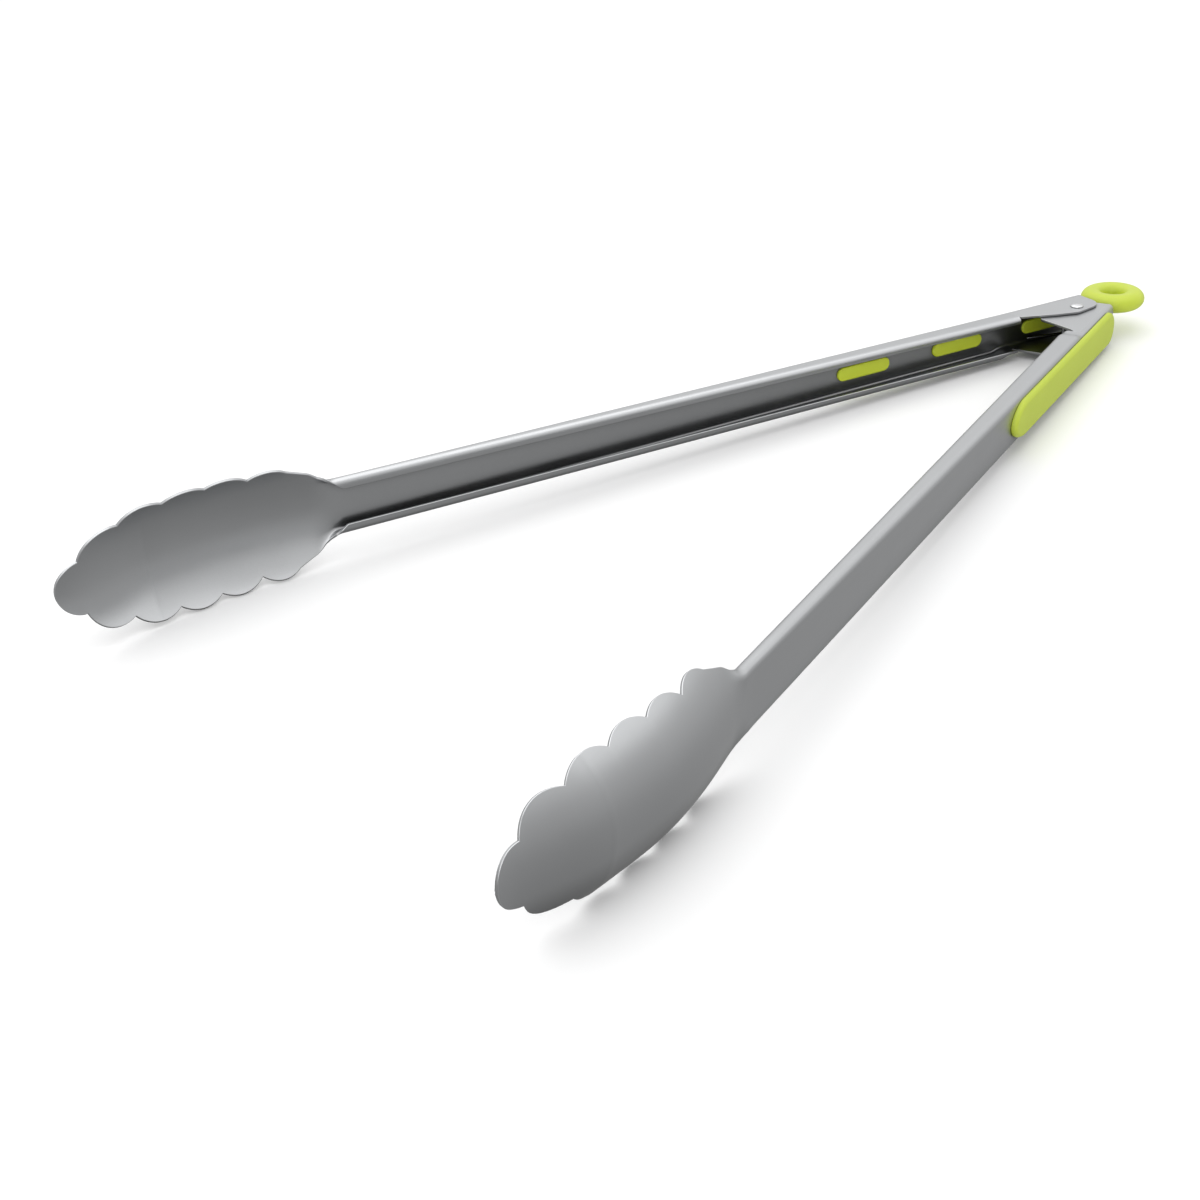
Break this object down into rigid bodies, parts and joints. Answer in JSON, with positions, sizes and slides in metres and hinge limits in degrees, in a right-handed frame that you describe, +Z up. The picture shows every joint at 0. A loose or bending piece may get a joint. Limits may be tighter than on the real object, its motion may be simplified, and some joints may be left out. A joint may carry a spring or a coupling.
{
  "type": "spring loaded kitchen tongs",
  "caption": "Long kitchen tongs lying open: lipped channel arms with cupped scalloped jaws, soft green grips, a sprung pivot and a pull-ring lock.",
  "frame": {"origin": "middle of the bounding box at counter level, with the tongs lying open on their side", "axes": "+X from the jaws to the pull ring along the middle plane, +Y to the left arm, +Z up from the counter. The pivot axis leans 1.95 degrees from +Z, because the jaws are wider than the pivot end"},
  "size_m": [0.4164, 0.2076, 0.0405],
  "materials": {
    "arm_steel": "fine brushed stainless steel, polished inside the channel",
    "grip_silicone": "smooth matte lime silicone",
    "rivet_steel": "polished steel",
    "spring_wire": "drawn spring wire",
    "plate_steel": "stamped satin steel",
    "ring_plastic": "satin lime plastic"
  },
  "bodies": {
    "left_arm": {"arm_left": "arm_steel", "grip_left": "grip_silicone"},
    "right_arm": {"arm_right": "arm_steel", "grip_right": "grip_silicone"},
    "pivot": {"pivot_rivet": "rivet_steel", "pivot_sleeve": "rivet_steel", "torsion_spring": "spring_wire"},
    "lock": {"lock_plate": "plate_steel", "lock_pin": "rivet_steel", "pull_ring": "ring_plastic"}
  },
  "joints": [
    {"name": "arm_swing", "type": "hinge", "parent": "left_arm", "child": "right_arm", "pos_m": [0.17022, 0, 0.00895], "axis": [-0.034, 0, -0.9994], "range_deg": [0, 29.2], "stiffness_Nm_per_rad": 0.8, "springref_deg": -11.46, "deforming": ["torsion_spring"]},
    {"name": "pivot_turn", "type": "hinge", "parent": "left_arm", "child": "pivot", "pos_m": [0.17022, 0, 0.00895], "axis": [-0.034, 0, -0.9994], "range_deg": [0, 14.6]},
    {"name": "lock_slide", "type": "slide", "parent": "pivot", "child": "lock", "axis": [0.9994, 0, -0.034], "range_m": [0, 0.0024]}
  ],
  "couplings": [
    {"joint": "pivot_turn", "follows": "arm_swing", "ratio": 0.5}
  ]
}
